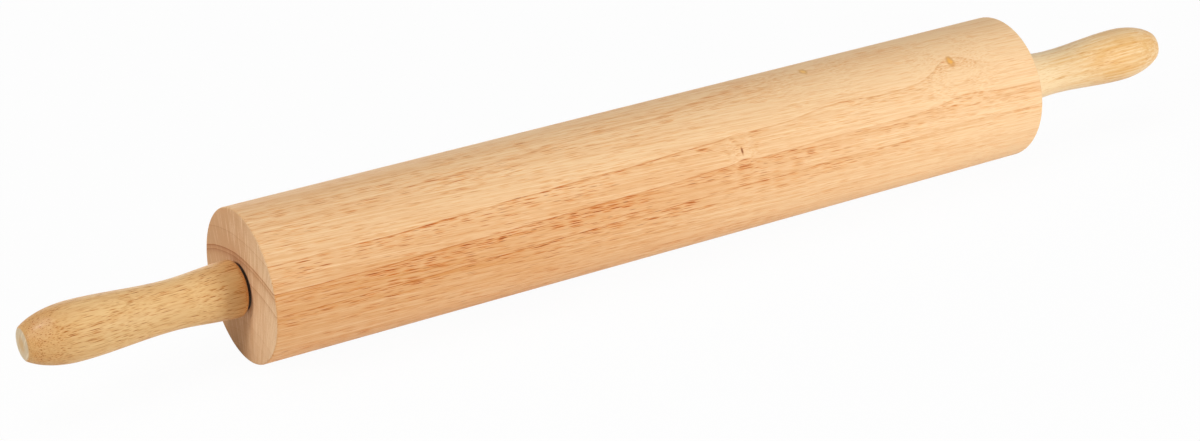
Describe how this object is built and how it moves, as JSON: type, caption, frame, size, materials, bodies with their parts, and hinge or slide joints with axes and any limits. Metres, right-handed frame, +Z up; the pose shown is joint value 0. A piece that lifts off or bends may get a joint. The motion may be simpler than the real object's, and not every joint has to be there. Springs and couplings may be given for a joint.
{
  "type": "rolling pin",
  "caption": "Wooden rolling pin: a plain cylindrical barrel spins on ball bearings about a steel axle between two turned handles.",
  "frame": {"origin": "middle of the barrel, on the axle's axis", "axes": "+X along the axle towards the right handle, +Z up, with the barrel lying on its lowest flat"},
  "size_m": [0.6664, 0.0758, 0.0758],
  "materials": {
    "barrel_wood": "satin",
    "handle_wood": "satin",
    "axle_steel": "satin",
    "bearing_steel": "gloss",
    "cage_nylon": "matte"
  },
  "bodies": {
    "grip": {"axle": "axle_steel", "handle_left": "handle_wood", "spacer_left": "axle_steel", "bearing_inner_ring_left": "bearing_steel", "handle_right": "handle_wood", "spacer_right": "axle_steel", "bearing_inner_ring_right": "bearing_steel"},
    "roller": {"barrel": "barrel_wood", "bearing_outer_ring_left": "bearing_steel", "bearing_shield_outer_left": "bearing_steel", "bearing_shield_inner_left": "bearing_steel", "bearing_outer_ring_right": "bearing_steel", "bearing_shield_outer_right": "bearing_steel", "bearing_shield_inner_right": "bearing_steel"},
    "cage_left": {"ball_cage_left": "cage_nylon", "ball_left_1": "bearing_steel", "ball_left_2": "bearing_steel", "ball_left_3": "bearing_steel", "ball_left_4": "bearing_steel", "ball_left_5": "bearing_steel", "ball_left_6": "bearing_steel", "ball_left_7": "bearing_steel"},
    "cage_right": {"ball_cage_right": "cage_nylon", "ball_right_1": "bearing_steel", "ball_right_2": "bearing_steel", "ball_right_3": "bearing_steel", "ball_right_4": "bearing_steel", "ball_right_5": "bearing_steel", "ball_right_6": "bearing_steel", "ball_right_7": "bearing_steel"}
  },
  "joints": [
    {"name": "roller_spin", "type": "hinge", "parent": "grip", "child": "roller", "pos_m": [0, 0, 0], "axis": [1, 0, 0], "continuous": true},
    {"name": "cage_left_spin", "type": "hinge", "parent": "grip", "child": "cage_left", "pos_m": [-0.2211, 0, 0], "axis": [1, 0, 0], "continuous": true},
    {"name": "cage_right_spin", "type": "hinge", "parent": "grip", "child": "cage_right", "pos_m": [0.2211, 0, 0], "axis": [1, 0, 0], "continuous": true}
  ],
  "couplings": [
    {"joint": "cage_left_spin", "follows": "roller_spin", "ratio": 0.63257},
    {"joint": "cage_right_spin", "follows": "roller_spin", "ratio": 0.63257}
  ]
}
